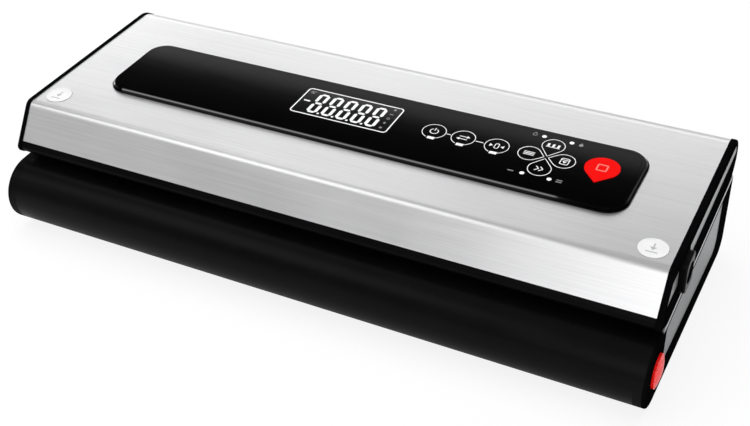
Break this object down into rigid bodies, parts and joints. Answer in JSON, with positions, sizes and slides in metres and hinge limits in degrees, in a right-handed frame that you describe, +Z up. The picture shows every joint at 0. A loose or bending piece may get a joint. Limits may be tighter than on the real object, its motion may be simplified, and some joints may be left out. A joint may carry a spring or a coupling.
{
  "type": "vacuum sealer",
  "caption": "Bench-top vacuum sealer: long low base with a full-round nose, hinged steel-clad lid with a touch panel and display, side release buttons and an inner vacuum trough.",
  "frame": {"origin": "on the table under the middle of the machine's box", "axes": "+X along the machine to its right end, +Y to the rear (the hinge), +Z up"},
  "size_m": [0.396, 0.161, 0.0811],
  "materials": {
    "steel_cover": "brushed along the length, fine grain",
    "black_satin": "satin moulded plastic",
    "black_deck": "matte moulded plastic",
    "side_grey": "fine satin, slightly metallic grey",
    "black_gloss": "piano gloss with printed key outlines",
    "display_glass": "dark display lens with white segments",
    "red_gloss": "glossy moulded",
    "white_disc": "satin white",
    "gasket_foam": "closed-cell foam",
    "seal_silicone": "smooth silicone",
    "ptfe_cloth": "woven coated glass cloth",
    "heating_alloy": "rolled strip",
    "phenolic": "pressed laminate",
    "tray_plastic": "moulded, finely textured",
    "bright_steel": "zinc plated",
    "moulded_black": "moulded",
    "motor_can": "zinc plated can",
    "core_iron": "laminated core with wrapped coil",
    "board_green": "solder mask",
    "black_rubber": "moulded rubber",
    "hose_silicone": "translucent silicone"
  },
  "bodies": {
    "base": {"base_housing": "black_satin", "base_end_cap_left": "black_satin", "base_end_cap_right": "black_satin", "base_deck": "black_deck", "base_side_inset_left": "side_grey", "base_side_inset_right": "side_grey", "lower_gasket": "gasket_foam", "ptfe_tape": "ptfe_cloth", "heating_element": "heating_alloy", "heat_bar": "phenolic", "drip_tray": "tray_plastic", "base_screws": "bright_steel", "load_cells": "bright_steel", "lid_switch": "moulded_black", "air_inlet": "moulded_black", "pump_head": "moulded_black", "pump_motor": "motor_can", "solenoid_valve": "motor_can", "transformer": "core_iron", "power_board": "board_green", "feet": "black_rubber", "pump_mounts": "black_rubber", "cord_gland": "black_rubber", "pump_hose": "hose_silicone", "valve_hose": "hose_silicone"},
    "lid": {"lid_frame": "black_satin", "lid_skin": "steel_cover", "lid_underplate": "black_deck", "lid_end_cap_right": "black_satin", "lid_end_cap_left": "black_satin", "lid_side_inset_right": "side_grey", "lid_side_inset_left": "side_grey", "accessory_port": "black_satin", "hinge_pins": "bright_steel", "lid_screws": "bright_steel", "upper_gasket": "gasket_foam", "seal_pad": "seal_silicone", "lid_catch_right": "bright_steel", "lid_catch_left": "bright_steel", "push_pads": "white_disc", "control_panel_bezel": "black_gloss", "control_panel_face": "black_gloss", "display_lcd": "display_glass", "stop_key": "red_gloss", "control_board": "board_green"},
    "release_right": {"release_button_right": "red_gloss", "latch_slider_right": "moulded_black", "button_spring_right": "bright_steel"},
    "release_left": {"release_button_left": "red_gloss", "latch_slider_left": "moulded_black", "button_spring_left": "bright_steel"},
    "switch_plunger": {"switch_plunger": "moulded_black"},
    "pump_crank": {"pump_crank": "bright_steel"}
  },
  "joints": [
    {"name": "lid_hinge", "type": "hinge", "parent": "base", "child": "lid", "pos_m": [0, 0.0656, 0.06617], "axis": [-1, 0, 0], "range_deg": [0, 65]},
    {"name": "release_right_press", "type": "slide", "parent": "base", "child": "release_right", "axis": [-1, 0, 0], "range_m": [0, 0.0025], "stiffness_N_per_m": 600, "springref_m": -0.002, "deforming": ["button_spring_right"]},
    {"name": "release_left_press", "type": "slide", "parent": "base", "child": "release_left", "axis": [1, 0, 0], "range_m": [0, 0.0025], "stiffness_N_per_m": 600, "springref_m": -0.002, "deforming": ["button_spring_left"]},
    {"name": "switch_press", "type": "slide", "parent": "base", "child": "switch_plunger", "axis": [0, 0.0785, -0.9969], "range_m": [0, 0.0015], "stiffness_N_per_m": 300, "springref_m": -0.001},
    {"name": "pump_spin", "type": "hinge", "parent": "base", "child": "pump_crank", "pos_m": [0, 0.04248, 0.022], "axis": [1, 0, 0], "continuous": true}
  ]
}
